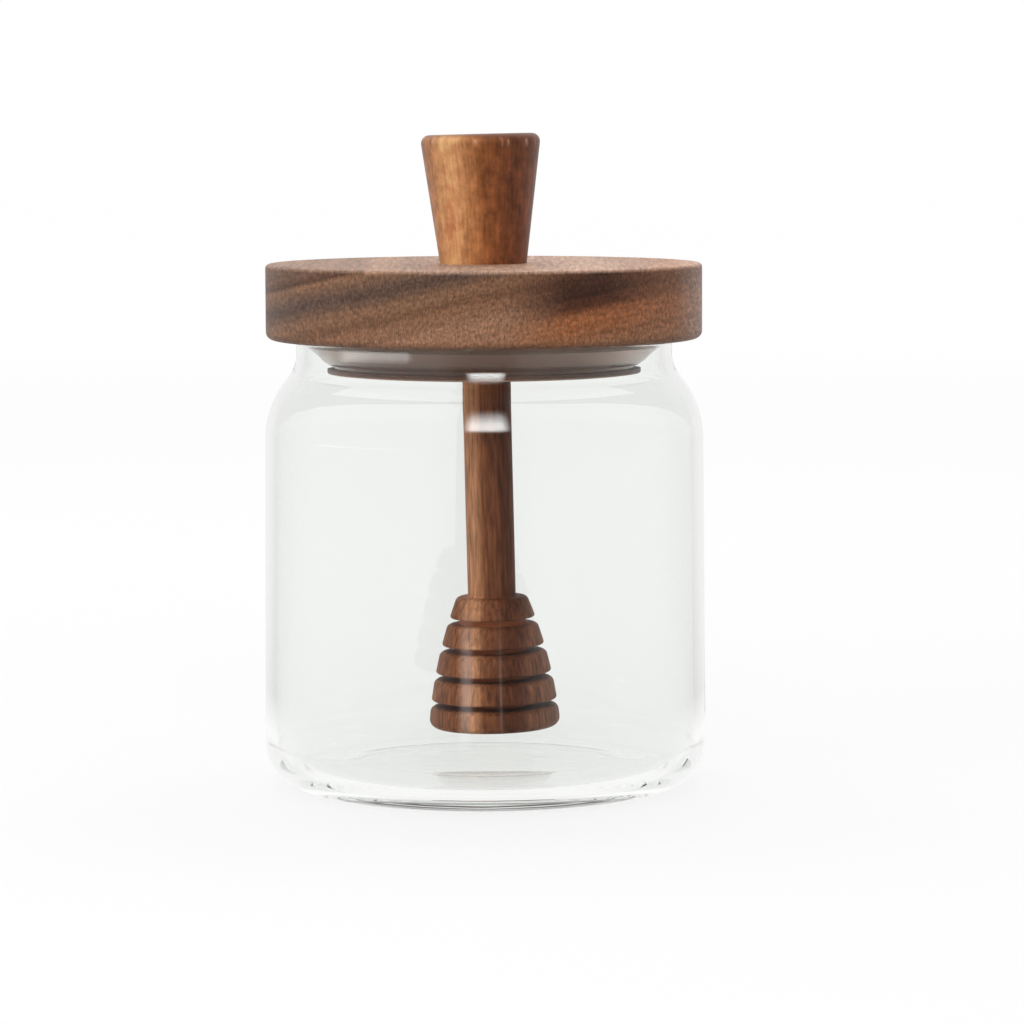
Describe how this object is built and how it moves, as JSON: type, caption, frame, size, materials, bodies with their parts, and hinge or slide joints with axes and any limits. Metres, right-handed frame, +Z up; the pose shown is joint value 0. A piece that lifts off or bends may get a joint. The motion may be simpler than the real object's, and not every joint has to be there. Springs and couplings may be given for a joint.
{
  "type": "honey jar",
  "caption": "Clear glass honey jar with a turned wooden lid, a silicone seal, a tapered knob and a wooden honey dipper that hangs from the lid inside the jar.",
  "frame": {"origin": "on the jar's axis, at the surface it stands on", "axes": "+Z up along the jar's axis; the jar is turned about Z, so X and Y are free, and -Y is called its front"},
  "size_m": [0.0884, 0.0884, 0.13],
  "materials": {
    "clear_glass": "clear, smooth, fire-polished rim",
    "lid_wood": "oiled dark hardwood, satin",
    "silicone": "translucent, matt",
    "knob_wood": "lacquered golden hardwood",
    "dipper_wood": "oiled reddish hardwood, satin"
  },
  "bodies": {
    "root": {"glass_jar": "clear_glass", "lid": "lid_wood", "seal_ring": "silicone", "knob": "knob_wood", "dipper": "dipper_wood"}
  },
  "joints": []
}
